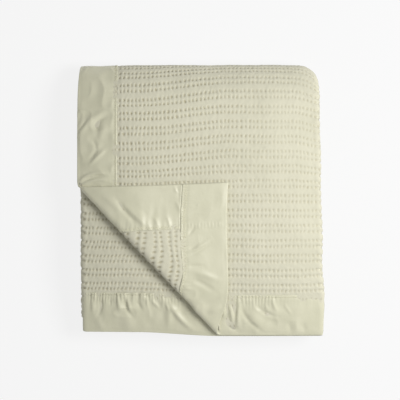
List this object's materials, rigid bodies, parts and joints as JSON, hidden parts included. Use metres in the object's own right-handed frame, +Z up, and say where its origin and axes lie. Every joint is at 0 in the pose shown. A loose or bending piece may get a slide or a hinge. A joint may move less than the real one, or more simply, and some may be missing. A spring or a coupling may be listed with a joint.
{
  "type": "folded wool blanket",
  "caption": "Cream cellular wool blanket with satin binding on every edge, folded into a thick square pack with one corner turned back.",
  "frame": {"origin": "on the ground, under the middle of the folded pack's bounding box", "axes": "+Z up, +Y from the bound ends at the front towards the thick folded back, +X from the bound side towards the folded side"},
  "size_m": [0.3349, 0.3686, 0.0983],
  "materials": {
    "wool_cloth": "soft open-weave wool, matt and slightly fuzzy",
    "satin_binding": "smooth satin with a soft sheen"
  },
  "bodies": {
    "root": {"blanket_cloth": "wool_cloth", "side_binding_outer": "satin_binding", "side_binding_inner": "satin_binding", "end_binding_outer": "satin_binding", "end_binding_inner": "satin_binding"}
  },
  "joints": []
}
